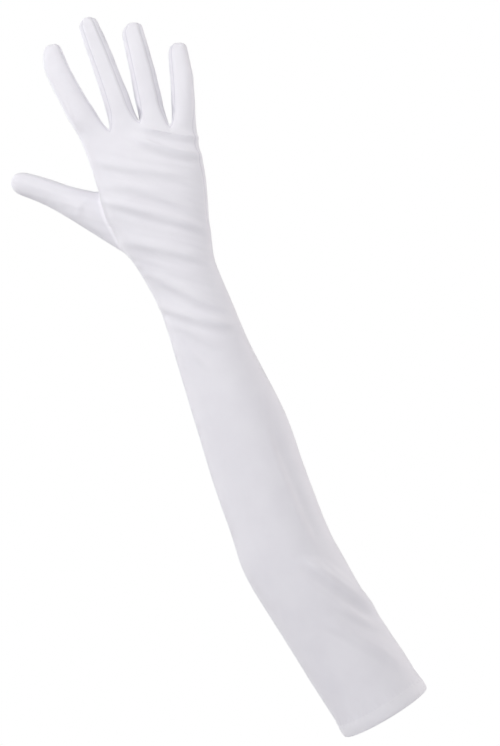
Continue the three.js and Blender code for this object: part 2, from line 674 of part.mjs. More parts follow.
// Gives one piece of a surface its wall, which lies inside the surface, and returns it as a closed body
function closedPiece(surface, piece, wall) {
  const faces = surface.faces.filter((face) => face.piece === piece);
  const isStrip = piece.startsWith('fourchette');
  const counts = (face, corner) => {
    if (!surface.crotches?.has(corner)) return true;
    return isStrip ? face.piece === piece : !face.piece.startsWith('fourchette');
  };
  const normals = pointNormals(surface, counts);
  const steepest = new Map();
  faces.forEach((face) => {
    const normal = faceNormal(surface, face);
    face.corners.forEach((corner) => {
      const slope = normal.dot(normals[corner]);
      steepest.set(corner, Math.min(steepest.get(corner) ?? 1, slope));
    });
  });
  const used = [...steepest.keys()];
  const place = new Map(used.map((index) => [index, surface.points[index].clone()]));
  const edges = outlineEdges(surface, faces);
  drawBack(surface, edges, place, isStrip, wall);

  const outer = new Map(used.map((index, order) => [index, order]));
  const inner = new Map(used.map((index, order) => [index, order + used.length]));
  const inside = used.map((index) => {
    const depth = wall * Math.min(thickestCorner, 1 / Math.max(leastSlope, steepest.get(index)));
    return place.get(index).clone().addScaledVector(normals[index], -depth);
  });
  const triangles = [];
  faces.forEach((face) => {
    diagonalOf(surface, face).forEach(([one, two, three]) => {
      const corners = [face.corners[one], face.corners[two], face.corners[three]];
      triangles.push(...corners.map((corner) => outer.get(corner)));
      triangles.push(...corners.reverse().map((corner) => inner.get(corner)));
    });
  });
  edges.forEach(({ from, to }) => {
    triangles.push(outer.get(to), outer.get(from), inner.get(from));
    triangles.push(outer.get(to), inner.get(from), inner.get(to));
  });
  const geometry = new THREE.BufferGeometry();
  geometry.setFromPoints([...used.map((index) => place.get(index)), ...inside]);
  geometry.setIndex(triangles);
  geometry.computeVertexNormals();
  return geometry;
}

function clothMaterial(colour) {
  return new THREE.MeshStandardMaterial({ color: colour, roughness: clothRoughness, metalness: 0 });
}

function addPiece(group, surface, name, wall, colour) {
  const mesh = new THREE.Mesh(closedPiece(surface, name, wall), clothMaterial(colour));
  mesh.name = name;
  group.add(mesh);
}

function makeGlove() {
  const glove = new THREE.Group();
  const sleeve = makeSleeve();
  const hand = makeHand();
  pressFolds(sleeve);
  pressFolds(hand);
  addPiece(glove, sleeve, 'cuff_hem', hemWall, hemColour);
  addPiece(glove, sleeve, 'arm_sleeve', clothWall, clothColour);
  addPiece(glove, hand, 'hand', clothWall, clothColour);
  fingers.forEach((finger) => addPiece(glove, hand, finger.name, clothWall, clothColour));
  for (let index = 1; index < fingers.length; index += 1) {
    addPiece(glove, hand, stripName(index), clothWall, stripColour);
  }
  addPiece(glove, hand, 'thumb', clothWall, clothColour);
  return glove;
}

export default makeGlove();
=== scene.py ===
import math

import bmesh
import bpy
import numpy as np
from mathutils import Matrix, Vector, noise
from mathutils.kdtree import KDTree


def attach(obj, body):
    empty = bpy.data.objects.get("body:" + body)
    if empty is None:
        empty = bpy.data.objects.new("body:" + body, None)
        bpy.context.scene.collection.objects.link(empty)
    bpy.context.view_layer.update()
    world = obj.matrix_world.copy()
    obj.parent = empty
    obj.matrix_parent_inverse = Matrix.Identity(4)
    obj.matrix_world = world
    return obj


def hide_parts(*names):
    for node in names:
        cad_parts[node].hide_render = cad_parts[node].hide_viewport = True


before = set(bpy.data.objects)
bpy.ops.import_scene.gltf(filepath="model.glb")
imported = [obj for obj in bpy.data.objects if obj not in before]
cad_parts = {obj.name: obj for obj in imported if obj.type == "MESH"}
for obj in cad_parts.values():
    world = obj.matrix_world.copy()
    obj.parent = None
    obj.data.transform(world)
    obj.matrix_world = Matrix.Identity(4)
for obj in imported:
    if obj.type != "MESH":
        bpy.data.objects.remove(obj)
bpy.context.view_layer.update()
print("frame loaded,", len(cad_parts), "nodes")

# The tables are in millimetres, the glove in metres. +Z runs up the arm to the fingertips,
# -Y is the back of the hand and +X the side of the little finger.
mm = 0.001
pieceNames = ["glove_cloth", "cuff_hem_cloth", "thumb_cloth", "strip_index_middle", "strip_middle_ring",
              "strip_ring_little"]


def readerOf(names, rows, placeName):
    # reads every column of a table at a place between its rows, on a smooth curve
    table = np.array(rows, float)
    places = table[:, names.index(placeName)]
    slopes = np.diff(table, axis=0) / np.diff(places)[:, None]
    bends = np.vstack([slopes[:1], (slopes[1:] + slopes[:-1]) / 2, slopes[-1:]])

    def read(place):
        low = int(np.clip(np.searchsorted(places, place, side="right") - 1, 0, len(places) - 2))
        span = places[low + 1] - places[low]
        t = (place - places[low]) / span
        found = (table[low] * (1 + 2 * t) * (1 - t) ** 2 + table[low + 1] * t * t * (3 - 2 * t)
                 + bends[low] * span * t * (1 - t) ** 2 + bends[low + 1] * span * t * t * (t - 1))
        return dict(zip(names, found))

    return read


def blendOf(low, high, share):
    return low + (high - low) * share


def easeBetween(value, low, high):
    share = min(1, max(0, (value - low) / (high - low)))
    return share * share * (3 - 2 * share)


def signedPower(value, power):
    return math.copysign(abs(value) ** power, value)


def sectionPoint(section, angle):
    # angle 0 is the little finger's side and 270 degrees the back of the hand
    across = signedPower(math.cos(angle), 2 / section["square"]) * section["width"] / 2
    share = signedPower(math.sin(angle), 2 / section["square"])
    depth = share * (section["back"] if share < 0 else section["palm"])
    lean = math.radians(section["lean"])
    return Vector((section["x"] + across * math.cos(lean), section["y"] + depth,
                   section["z"] + across * math.sin(lean)))


def grown(section, count, inset=0):
    # a subdivided ring of count points shrinks a little, so the cage is made that much wider
    gain = 3 / (2 + math.cos(2 * math.pi / count))
    wider = dict(section)
    for name in ("width", "back", "palm"):
        taken = 2 * inset if name == "width" else inset
        wider[name] = (section[name] - taken) * gain
    return wider


# Cage of the whole glove, grown ring by ring from the cuff
cage = {
    "object": None,
    "rings": 0,
    "step": 5,  # how far a new ring is moved off the last one before its points are placed
    "levels": 2,
}


def startCage(name, count, radius):
    bpy.ops.object.select_all(action="DESELECT")
    bpy.ops.mesh.primitive_circle_add(vertices=count, radius=radius * mm, location=(0, 0, 0))
    made = bpy.context.object
    made.name = made.data.name = name
    for label, kind, domain in (("order", "INT", "POINT"), ("column", "INT", "POINT"),
                                ("ring", "INT", "POINT"), ("along", "FLOAT", "POINT"),
                                ("piece", "INT", "FACE")):
        made.data.attributes.new(label, kind, domain)
    made.data.uv_layers.new(name="cloth")
    cage["object"] = made
    bpy.ops.object.mode_set(mode="EDIT")
    bpy.ops.mesh.select_mode(type="VERT")
    bpy.ops.mesh.select_all(action="SELECT")
    mesh, layers = editedMesh()
    mesh.verts.ensure_lookup_table()
    for vert in mesh.verts:
        vert[layers["order"]] = vert[layers["column"]] = vert.index


def updateCage():
    bmesh.update_edit_mesh(cage["object"].data)


def editedMesh():
    mesh = bmesh.from_edit_mesh(cage["object"].data)
    ints, floats = mesh.verts.layers.int, mesh.verts.layers.float
    layers = {"order": ints["order"], "column": ints["column"], "ring": ints["ring"],
              "along": floats["along"], "piece": mesh.faces.layers.int["piece"],
              "cloth": mesh.loops.layers.uv["cloth"]}
    return mesh, layers


def clearedMesh():
    bpy.ops.mesh.select_all(action="DESELECT")
    return editedMesh()


def placeRing(placeOf, along):
    # puts each selected point where it belongs, and counts the ring
    mesh, layers = editedMesh()
    for vert in mesh.verts:
        if vert.select:
            number = vert[layers["order"]]
            vert.co = placeOf(number) * mm
            vert[layers["ring"]] = cage["rings"]
            vert[layers["along"]] = (along(number) if callable(along) else along) * mm
    cage["rings"] += 1
    updateCage()
    return cage["rings"] - 1


def growRing(placeOf, along, count, pitch, pieceOf, seamsAt=()):
    # extrudes the selected ring by one step and gives its new faces their piece, knit and seams;
    # pieceOf is the name of a piece, or gives one for each place on the ring
    bpy.ops.mesh.extrude_edges_move(TRANSFORM_OT_translate={"value": (0, 0, cage["step"] * mm)})
    ringNumber = placeRing(placeOf, along)
    mesh, layers = editedMesh()
    for edge in mesh.edges:
        low, high = edge.verts
        if not edge.select:
            if low.select != high.select and low[layers["order"]] in seamsAt:
                edge.seam = low[layers["order"]] == high[layers["order"]] or edge.seam
            continue
        orders = sorted((low[layers["order"]], high[layers["order"]]))
        wraps = orders[1] - orders[0] > 1
        place = orders[1] if wraps else orders[0]
        for face in edge.link_faces:
            face[layers["piece"]] = pieceNames.index(pieceOf(place) if callable(pieceOf) else pieceOf)
            for loop in face.loops:
                across = loop.vert[layers["order"]]
                across = across + count if wraps and across == 0 else across
                loop[layers["cloth"]].uv = (across * pitch * mm, loop.vert[layers["along"]])
    updateCage()
    return ringNumber


def selectLoop(placed):
    # selects the points of a closed loop, given as (ring, column) in their order, and numbers them
    mesh, layers = clearedMesh()
    wanted = {place: number for number, place in enumerate(placed)}
    points = {}
    for vert in mesh.verts:
        number = wanted.get((vert[layers["ring"]], vert[layers["column"]]))
        if number is not None:
            vert.select = True
            vert[layers["order"]] = number
            points[number] = vert.co / mm
    mesh.select_flush(True)
    updateCage()
    assert len(points) == len(placed), (len(points), len(placed))
    return points


def closeTip(wide, raised, piece, seamSide):
    # fills the last ring with a grid of faces and lifts the new points into a rounded end; a seam runs
    # over it on the palm's side, from the place seamSide on the ring, if that isn't 0
    mesh, layers = editedMesh()
    for vert in mesh.verts:
        if vert.select and vert[layers["order"]] == 0:
            mesh.select_history.clear()
            mesh.select_history.add(vert)
    for edge in mesh.edges:
        orders = [vert[layers["order"]] for vert in edge.verts]
        if edge.select and seamSide and min(orders) >= seamSide and max(orders) <= seamSide + wide:
            edge.seam = True
    updateCage()
    bpy.ops.mesh.fill_grid(span=wide)
    mesh, layers = editedMesh()
    for vert in mesh.verts:
        if vert.select and all(face.select for face in vert.link_faces):
            vert.co = raised(vert.co / mm) * mm
            vert[layers["ring"]] = cage["rings"]
    for face in mesh.faces:
        if face.select:
            face[layers["piece"]] = pieceNames.index(piece)
            for loop in face.loops:
                loop[layers["cloth"]].uv = (loop.vert.co.x, loop.vert.co.z)
    cage["rings"] += 1
    updateCage()


def tipRings(section, axis, ringPoint, count, pitch, along, pieceOf, tip, wide, seamSide=0, seamsAt=()):
    # two ever smaller rings and a grid round off the end of a finger
    height = tip["height"] * section["width"]
    middle = Vector((section["x"], section["y"], section["z"]))
    for degrees in tip["angles"]:
        shrink = math.cos(math.radians(degrees)) ** tip["blunt"]
        lift = axis * height * math.sin(math.radians(degrees))
        growRing(lambda number: (ringPoint(number) - middle) * shrink + middle + lift, along + lift.length,
                 count, pitch, pieceOf, seamsAt)

    def raised(flat):
        offset = flat - middle
        aside = offset - axis * offset.dot(axis)
        share = min(tip["reach"], aside.length / (section["width"] / 2))
        return middle + aside + axis * height * math.sqrt(1 - share ** (2 / tip["blunt"]))

    closeTip(wide, raised, "thumb_cloth" if seamSide == 0 else "glove_cloth", seamSide)


# Sleeve and hem
armNames = ("z", "x", "y", "width", "back", "palm", "lean", "square")
sleeve = {
    "columns": 38,
    "radius": 35,  # of the circle from which the cage grows
    "pitch": 5.2,  # knit between two columns
    "sections": [
        (0, 0.2, 0, 70.8, 37.4, 38.4, 10.8, 2),
        (3, -0.5, 0, 71.6, 37.8, 38.8, 11, 2),
        (8, -1.6, 0, 71.8, 38, 39, 11.2, 2),
        (11, -2.2, 0, 70.8, 37.6, 38.6, 11.4, 2),
        (24, -5, 0.5, 70.8, 37.4, 38.2, 11.9, 2),
        (45, -10, 1, 70.4, 37, 37.5, 12.4, 2),
        (80, -18.1, 2, 69, 37.5, 36, 12.3, 2),
        (114, -24.6, 2.5, 71, 37.5, 35.5, 8, 2),
        (137, -28.5, 2.5, 71.6, 36, 35.5, 4, 2.05),
        (168, -28.6, 2, 69.2, 34, 34.5, 1, 2.05),
        (197, -28.7, 1.5, 68.9, 32.5, 33, 0, 2.05),
        (240, -27.5, 1, 67, 30, 30.5, 0, 2.1),
        (271, -28.7, 0.5, 61, 27, 27.5, 0, 2.1),
        (301, -29.7, 0, 55.6, 23.5, 24, 0, 2.15),
        (332, -29.5, 0, 52.4, 20, 20.5, 0, 2.2),
        (348, -30.3, 0, 51.7, 18.8, 19.5, 0, 2.25),
        (364, -31.6, -0.2, 54.5, 18.2, 19.2, 0, 2.3),
        (378, -31.4, -0.5, 60.2, 17.6, 20, 0, 2.35),
        (395, -32.2, -1, 69, 17, 21.2, 0, 2.4),
        (405, -31, -1.2, 72.8, 16.6, 21, 0, 2.4),
        (420, -30.2, -1.6, 79.6, 16, 20, 0, 2.45),
        (437, -28.4, -2, 81.4, 15.2, 18, 0, 2.5),
        (451, -27.4, -2, 81.4, 14.6, 16, 0, 2.5),
        (463, -26.6, -1.6, 82.6, 13.4, 14, 0, 2.5),
        (476, -25.9, -0.8, 86, 11.4, 11.8, 0, 2.5),
    ],
    "rows": [14, 19, 25, 32, 40, 48, 56, 64, 72, 80, 88, 96, 104, 112, 120, 128, 137, 147, 158, 170, 183,
             197, 212, 227, 242, 256, 269, 281, 292, 302, 311, 319, 326, 333, 340, 347, 354, 361],
}
hem = {
    "depth": 10,
    "edge": 0.4,  # from the hem's upper end to the ring where the sleeve begins
    "outerRing": 4,  # the first ring of the outer layer
    "tilt": 0.06,  # how much higher the opening is on the side of the back of the hand
    "tiltEnd": 70,
    # z on the arm and how far the ring is set in, down the inner layer, round the fold and up outside
    "rings": [(10.3, 1.9), (6.5, 1.8), (2.2, 1.5), (0.5, 1.2), (0, 0.45), (0.45, -0.35), (2, -0.55),
              (5.2, -0.4), (8, -0.15), (9.4, 0)],
}
readArm = readerOf(armNames, sleeve["sections"], "z")
sideSteps = 3  # faces across a side strip
roundStart = math.pi * (1 + sideSteps / sleeve["columns"])
# the side seam turns behind the contour below the hand: by how many degrees, and between which heights
seamTurn = {"turn": 22, "low": 300, "high": 378}


def roundAngle(column, height):
    turned = math.radians(seamTurn["turn"]) * (1 - easeBetween(height, seamTurn["low"], seamTurn["high"]))
    return roundStart + turned + 2 * math.pi * column / sleeve["columns"]


def tilted(point, height):
    tilt = hem["tilt"] * (1 - easeBetween(height, 0, hem["tiltEnd"]))
    return point + Vector((0, 0, -tilt * point.y))


def armRing(height, inset=0):
    section = grown(readArm(height), sleeve["columns"], inset)
    return lambda column: tilted(sectionPoint(section, roundAngle(column, height)), height)


def makeSleeve():
    startCage("glove_cage", sleeve["columns"], sleeve["radius"])
    first, *others = hem["rings"]
    placeRing(armRing(*first), -first[0])
    for number, (height, inset) in enumerate(others):
        outside = number >= hem["outerRing"]
        growRing(armRing(height, inset), height if outside else -height, sleeve["columns"],
                 sleeve["pitch"], "cuff_hem_cloth", sideSeam if outside else ())
    hemTop = hem["depth"] + hem["edge"]
    for height in [hemTop] + sleeve["rows"]:
        piece = "cuff_hem_cloth" if height == hemTop else "glove_cloth"
        growRing(armRing(height), height, sleeve["columns"], sleeve["pitch"], piece, sideSeam)
    print("sleeve grown,", cage["rings"], "rings")


# Hand
hand = {
    "wrist": 372,
    "knuckles": 476,
    # heights between which the rows are spread evenly, and how many they are
    "lowRows": (368, 414, 8),
    "highRows": (414, 476, 10),
    "riseStart": 415,  # from here up the rings bend towards the knuckle line
    "columnsInPlace": 466,  # from here up the columns lie under the fingers
    "backSteps": 4,  # faces across the back of one finger
    # across the hand from the index finger's side to the little finger's, and the rise over the knuckles
    "knuckleLine": [(-0.93, 9), (-0.45, 0), (0.08, -0.7), (0.54, -12.7), (0.93, -14)],
}
thumbHole = {"firstColumn": 30, "lastColumn": 36, "firstRow": 3, "lastRow": 12, "roundness": 3.2,
             "reach": 0.8}
handSteps = 4 * hand["backSteps"]
palmStart = handSteps + sideSteps
palmEnd = palmStart + handSteps
sideSeam = (handSteps,)  # the column in which the side seam runs down to the cuff
lowCount, highCount = hand["lowRows"][2], hand["highRows"][2]
handRows = [blendOf(*hand["lowRows"][:2], step / lowCount) for step in range(lowCount)]
handRows += [blendOf(*hand["highRows"][:2], step / highCount) for step in range(highCount + 1)]


def riseAt(across):
    places, rises = zip(*hand["knuckleLine"])
    return float(np.interp(across, places, rises))


def knuckleAngle(column, section):
    # the angle at which a column crosses the knuckle line
    onBack = column <= handSteps
    if onBack or palmStart <= column <= palmEnd:
        place = column if onBack else palmEnd - column
        line = hand["knuckleLine"]
        finger = min(int(place / hand["backSteps"]), len(line) - 2)
        share = place / hand["backSteps"] - finger
        across = blendOf(line[finger][0], line[finger + 1][0], share)
        angle = math.acos(signedPower(across, section["square"] / 2))
        return 2 * math.pi - angle if onBack else 2 * math.pi + angle
    low = handSteps if column < palmStart else palmEnd
    start = knuckleAngle(low, section)
    turn = 2 * math.pi if column < palmStart else 3 * math.pi
    return blendOf(start, 2 * turn - start, (column - low) / sideSteps)


def handPoint(column, height):
    section = grown(readArm(height), sleeve["columns"])
    share = easeBetween(height, hand["wrist"], hand["columnsInPlace"])
    angle = blendOf(roundAngle(column, height), knuckleAngle(column, section), share)
    point = sectionPoint(section, angle)
    across = signedPower(math.cos(angle), 2 / section["square"])
    point.z += riseAt(across) * easeBetween(height, hand["riseStart"], hand["knuckles"])
    return point


def roundedPlace(column, row):
    # rounds the corners of the thumb's opening
    hole = thumbHole
    middleColumn = (hole["firstColumn"] + hole["lastColumn"]) / 2
    middleRow = (hole["firstRow"] + hole["lastRow"]) / 2
    u = (column - middleColumn) / (hole["lastColumn"] - middleColumn)
    v = (row - middleRow) / (hole["lastRow"] - middleRow)
    size = max(abs(u), abs(v), 1)
    power = hole["roundness"]
    oval = ((abs(u / size) ** power + abs(v / size) ** power) or 1) ** (-1 / power)
    pull = max(0, 1 - (size - 1) / hole["reach"])
    scale = 1 + (min(oval, 1) - 1) * pull
    return middleColumn + (column - middleColumn) * scale, middleRow + (row - middleRow) * scale


def handRing(row):
    def place(column):
        roundColumn, roundRow = roundedPlace(column, row)
        low = min(int(roundRow), len(handRows) - 2)
        return handPoint(roundColumn, blendOf(handRows[low], handRows[low + 1], roundRow - low))
    return place


def makeHand():
    rings = []
    for row, height in enumerate(handRows):
        rings.append(growRing(handRing(row), height, sleeve["columns"], sleeve["pitch"], "glove_cloth",
                              sideSeam))
    # the opening for the thumb
    bpy.ops.mesh.select_mode(type="FACE")
    mesh, layers = clearedMesh()
    columns = range(thumbHole["firstColumn"], thumbHole["lastColumn"] + 1)
    inside = range(rings[thumbHole["firstRow"]], rings[thumbHole["lastRow"]] + 1)
    for face in mesh.faces:
        face.select = all(vert[layers["column"]] in columns and vert[layers["ring"]] in inside
                          for vert in face.verts)
    updateCage()
    bpy.ops.mesh.delete(type="FACE")
    bpy.ops.mesh.select_mode(type="VERT")
    print("hand grown,", cage["rings"], "rings")
    return rings


# Fingers
fingerNames = ("z", "x", "y", "width", "depth")
fingers = {
    "square": 2.5,
    "rows": 8,
    "pitch": 4.3,
    "palmSeam": 36,  # degrees from a finger's side to the seam of its strip on the palm's side
    "bend": 0.12,  # how far a tip points to the palm's side, for each step along it
    "tip": {"angles": (28, 56), "reach": 0.99, "blunt": 0.72},
    # the same on the back, at the index finger's side and at the little finger's
    "backSeams": {"index": (42, 28), "middle": (58, 60), "ring": (57, 50), "little": (50, 22)},
    # how far a finger's last section is from its tip, and the degrees that the tip leans
    "ends": {"index": (0.6, -8), "middle": (0.5, -5), "ring": (0.46, -20), "little": (0.42, -22)},
    "sections": {
        "index": (6, [(492, -60, 0.5, 20.4, 20.5), (503, -62.2, 0.9, 20, 19.2), (520, -64.9, 2.2, 18.5, 17),
                      (538, -67.2, 4.4, 18.3, 15.6), (548, -67.1, 6, 16.4, 13.6)]),
        "middle": (0, [(490, -33.2, -0.3, 20.4, 20.8), (503, -32.6, 0.3, 19.7, 19.4),
                       (520, -32.6, 1.8, 18.3, 17.2), (545, -32.9, 5, 17, 15),
                       (560, -33.4, 7.4, 15.6, 12.8)]),
        "ring": (-6, [(485, -11.4, 0, 19.6, 19.8), (493, -9.9, 0.3, 19.8, 19), (507, -8.1, 1.6, 19.1, 17.2),
                      (528, -5.7, 4.4, 18, 15.4), (545, -4.3, 7.2, 16.6, 13.2)]),
        "little": (-15.7, [(476, 11.6, 1, 17.6, 17.8), (486, 15, 1.6, 17.4, 16.8),
                           (497, 18.1, 2.8, 17.2, 15.4), (510, 21, 4.8, 16.1, 14),
                           (521, 23.3, 6.8, 14.2, 12)]),
    },
}
fingerOrder = list(fingers["sections"])
lastFinger = len(fingerOrder) - 1
fingerColumns = 2 * (hand["backSteps"] + sideSteps)
webColumns = 100  # a web's points have columns from this times the web's number up
firstStrip = pieceNames.index("strip_index_middle")


def fingerAngle(name, number):
    # over the back, round the side, over the palm and back
    left, right = fingers["backSeams"][name]
    corner = fingers["palmSeam"]
    wide, deep = hand["backSteps"], sideSteps
    if number <= wide:
        degrees = blendOf(180 + left, 360 - right, number / wide)
    elif number <= wide + deep:
        degrees = blendOf(360 - right, 360 + corner, (number - wide) / deep)
    elif number <= 2 * wide + deep:
        degrees = blendOf(360 + corner, 540 - corner, (number - wide - deep) / wide)
    else:
        degrees = blendOf(540 - corner, 540 + left, (number - 2 * wide - deep) / deep)
    return math.radians(degrees)


def makeWebs(lastRing):
    # an edge across each crotch, cut in three, on which the side strips turn
    for number in range(1, len(fingerOrder)):
        backColumn = hand["backSteps"] * number
        palmColumn = palmEnd - backColumn
        mesh, layers = clearedMesh()
        for vert in mesh.verts:
            crotch = vert[layers["column"]] in (backColumn, palmColumn)
            vert.select = crotch and vert[layers["ring"]] == lastRing
        mesh.select_flush(True)
        updateCage()
        bpy.ops.mesh.edge_face_add()
        bpy.ops.mesh.subdivide(number_cuts=sideSteps - 1)
        mesh, layers = editedMesh()
        web = sorted((vert for vert in mesh.verts if vert.select), key=lambda vert: vert.co.y)
        for step, vert in enumerate(web[1:-1]):
            vert[layers["ring"]] = lastRing
            vert[layers["column"]] = webColumns * number + step
            vert[layers["along"]] = hand["knuckles"] * mm
        updateCage()


def fingerLoop(number, lastRing):
    first, last = hand["backSteps"] * number, hand["backSteps"] * (number + 1)
    web = range(sideSteps - 1)
    right, left = range(handSteps + 1, palmStart), range(palmEnd + 1, palmEnd + sideSteps)
    if number < lastFinger:
        right = [webColumns * (number + 1) + step for step in web]
    if number:
        left = [webColumns * number + step for step in reversed(web)]
    back, palm = range(first, last + 1), range(palmEnd - last, palmEnd - first + 1)
    return [(lastRing, column) for column in (*back, *right, *palm, *left)]


def makeFingers(lastRing):
    makeWebs(lastRing)
    wide, deep, count = hand["backSteps"], sideSteps, fingerColumns
    for number, name in enumerate(fingerOrder):
        leanDegrees, rows = fingers["sections"][name]
        readFinger = readerOf(fingerNames, rows, "z")
        selectLoop(fingerLoop(number, lastRing))
        rightSeams = (wide, wide + deep) if number < lastFinger else (wide,)
        leftSeams = (0, 2 * wide + deep) if number else ()

        def pieceOf(place):
            if wide <= place < wide + deep and number < lastFinger:
                return pieceNames[firstStrip + number]
            if place >= 2 * wide + deep and number:
                return pieceNames[firstStrip + number - 1]
            return "glove_cloth"

        def ringPoint(place):
            return sectionPoint(section, fingerAngle(name, place))

        for row in range(fingers["rows"] + 1):
            found = readFinger(blendOf(rows[0][0], rows[-1][0], row / fingers["rows"]))
            section = dict(found, back=found["depth"] / 2, palm=found["depth"] / 2, lean=leanDegrees,
                           square=fingers["square"])
            section = grown(section, count)
            growRing(ringPoint, found["z"], count, fingers["pitch"], pieceOf, rightSeams + leftSeams)
        height, tipLean = fingers["ends"][name]
        lean = math.radians(tipLean)
        axis = Vector((-math.sin(lean), fingers["bend"], math.cos(lean))).normalized()
        tip = dict(fingers["tip"], height=height)
        tipRings(section, axis, ringPoint, count, fingers["pitch"], section["z"], pieceOf, tip, wide,
                 wide + deep, rightSeams + leftSeams)
        print(name, "finger grown")


# Thumb
thumbNames = ("along", "x", "z", "y", "width", "back", "palm")
thumb = {
    "lean": 45,
    "bend": 0.1,
    "pitch": 3.4,
    "blendRows": 4,
    "rows": 5,
    "turn": 0.32,  # share of the way over which the seam's points swing into the thumb's direction
    "even": 0.5,  # how evenly the first section's points are spread
    "swell": 1.3,  # how far the ball of the thumb bulges
    "tip": {"height": 0.56, "angles": (28, 56), "reach": 0.99, "blunt": 0.85},
    "sections": [(0, -64, 415, 10, 46, 13, 13), (46, -84.8, 436, 14.5, 26.4, 12.2, 12.7),
                 (53, -89.9, 440.6, 15.2, 23.6, 11, 11.6), (64, -98, 448, 16.2, 20.8, 9.8, 10.2),
                 (78, -108.1, 457.8, 17.4, 19.4, 8.8, 9), (94, -120.9, 467.6, 18.9, 17.8, 8, 8.2)],
}
readThumb = readerOf(thumbNames, thumb["sections"], "along")


def thumbSection(along):
    return dict(readThumb(along), lean=thumb["lean"], square=2)


def makeThumb(rings):
    hole = thumbHole
    low, high = rings[hole["firstRow"]], rings[hole["lastRow"]]
    columns = range(hole["firstColumn"], hole["lastColumn"])
    rows = range(hole["firstRow"], hole["lastRow"])
    loop = [(low, column) for column in columns]
    loop += [(rings[row], hole["lastColumn"]) for row in rows]
    loop += [(high, column + 1) for column in reversed(columns)]
    loop += [(rings[row + 1], hole["firstColumn"]) for row in reversed(rows)]
    seam = selectLoop(loop)
    count = len(loop)
    mesh, layers = editedMesh()
    base = thumbSection(0)
    lean = math.radians(thumb["lean"])
    seamAngles = []
    for number in range(count):
        point = seam[number]
        across = (point.x - base["x"]) * math.cos(lean) + (point.z - base["z"]) * math.sin(lean)
        depth = point.y - base["y"]
        depth /= base["back"] if depth < 0 else base["palm"]
        angle = math.atan2(depth, across / (base["width"] / 2))
        while seamAngles and angle < seamAngles[-1] - math.pi / 2:
            angle += 2 * math.pi
        seamAngles.append(angle)

    def angleAt(number, share):
        return blendOf(seamAngles[number], seamAngles[0] + 2 * math.pi * number / count, share)

    start, end = thumb["sections"][1][0], thumb["sections"][-1][0]
    axis = Vector((-math.sin(lean), thumb["bend"], math.cos(lean))).normalized()
    first = grown(thumbSection(start), count)
    middle = Vector((first["x"], first["y"], first["z"]))
    reach = {number: (sectionPoint(first, angleAt(number, thumb["even"])) - seam[number]).length
             for number in range(count)}
    for vert in mesh.verts:
        if vert.select:
            vert[layers["along"]] = (start - reach[vert[layers["order"]]]) * mm
    updateCage()

    def blendPoint(number, share):
        # from the seam to the first section the cloth swings smoothly into the thumb's direction
        there = seam[number]
        to = sectionPoint(first, angleAt(number, thumb["even"]))
        turn = to - axis * thumb["turn"] * (to - there).length
        point = there * (1 - share) ** 2 + turn * 2 * share * (1 - share) + to * share ** 2
        onBall = max(0, -math.cos(angleAt(number, thumb["even"])))
        swell = thumb["swell"] * onBall * math.sin(math.pi * share)
        return point + (to - middle).normalized() * swell

    def ringPoint(number):
        return sectionPoint(section, angleAt(number, even))

    for row in range(1, thumb["blendRows"] + 1):
        share = row / thumb["blendRows"]
        growRing(lambda number: blendPoint(number, share),
                 lambda number: start - reach[number] * (1 - share), count, thumb["pitch"], "thumb_cloth")
    for row in range(1, thumb["rows"] + 1):
        share = row / thumb["rows"]
        along = blendOf(start, end, share)
        section = grown(thumbSection(along), count)
        even = blendOf(thumb["even"], 1, share)
        growRing(ringPoint, along, count, thumb["pitch"], "thumb_cloth")
    tipRings(section, axis, ringPoint, count, thumb["pitch"], end, "thumb_cloth", thumb["tip"],
             hole["lastColumn"] - hole["firstColumn"])
    print("thumb grown")


def finishCage():
    # piece borders become seams, apart from the hem's, which is the same cloth folded in
    mesh, layers = editedMesh()
    for edge in mesh.edges:
        found = {face[layers["piece"]] for face in edge.link_faces}
        if len(found) == 2 and pieceNames.index("cuff_hem_cloth") not in found:
            edge.seam = True
    updateCage()
    bpy.ops.mesh.select_all(action="SELECT")
    bpy.ops.mesh.normals_make_consistent(inside=False)
    bpy.ops.object.mode_set(mode="OBJECT")
    bpy.ops.object.modifier_add(type="SUBSURF")
    smooth = cage["object"].modifiers[-1]
    smooth.levels = smooth.render_levels = cage["levels"]
    bpy.ops.object.modifier_apply(modifier=smooth.name)
    print("cage smoothed,", len(cage["object"].data.polygons), "faces")


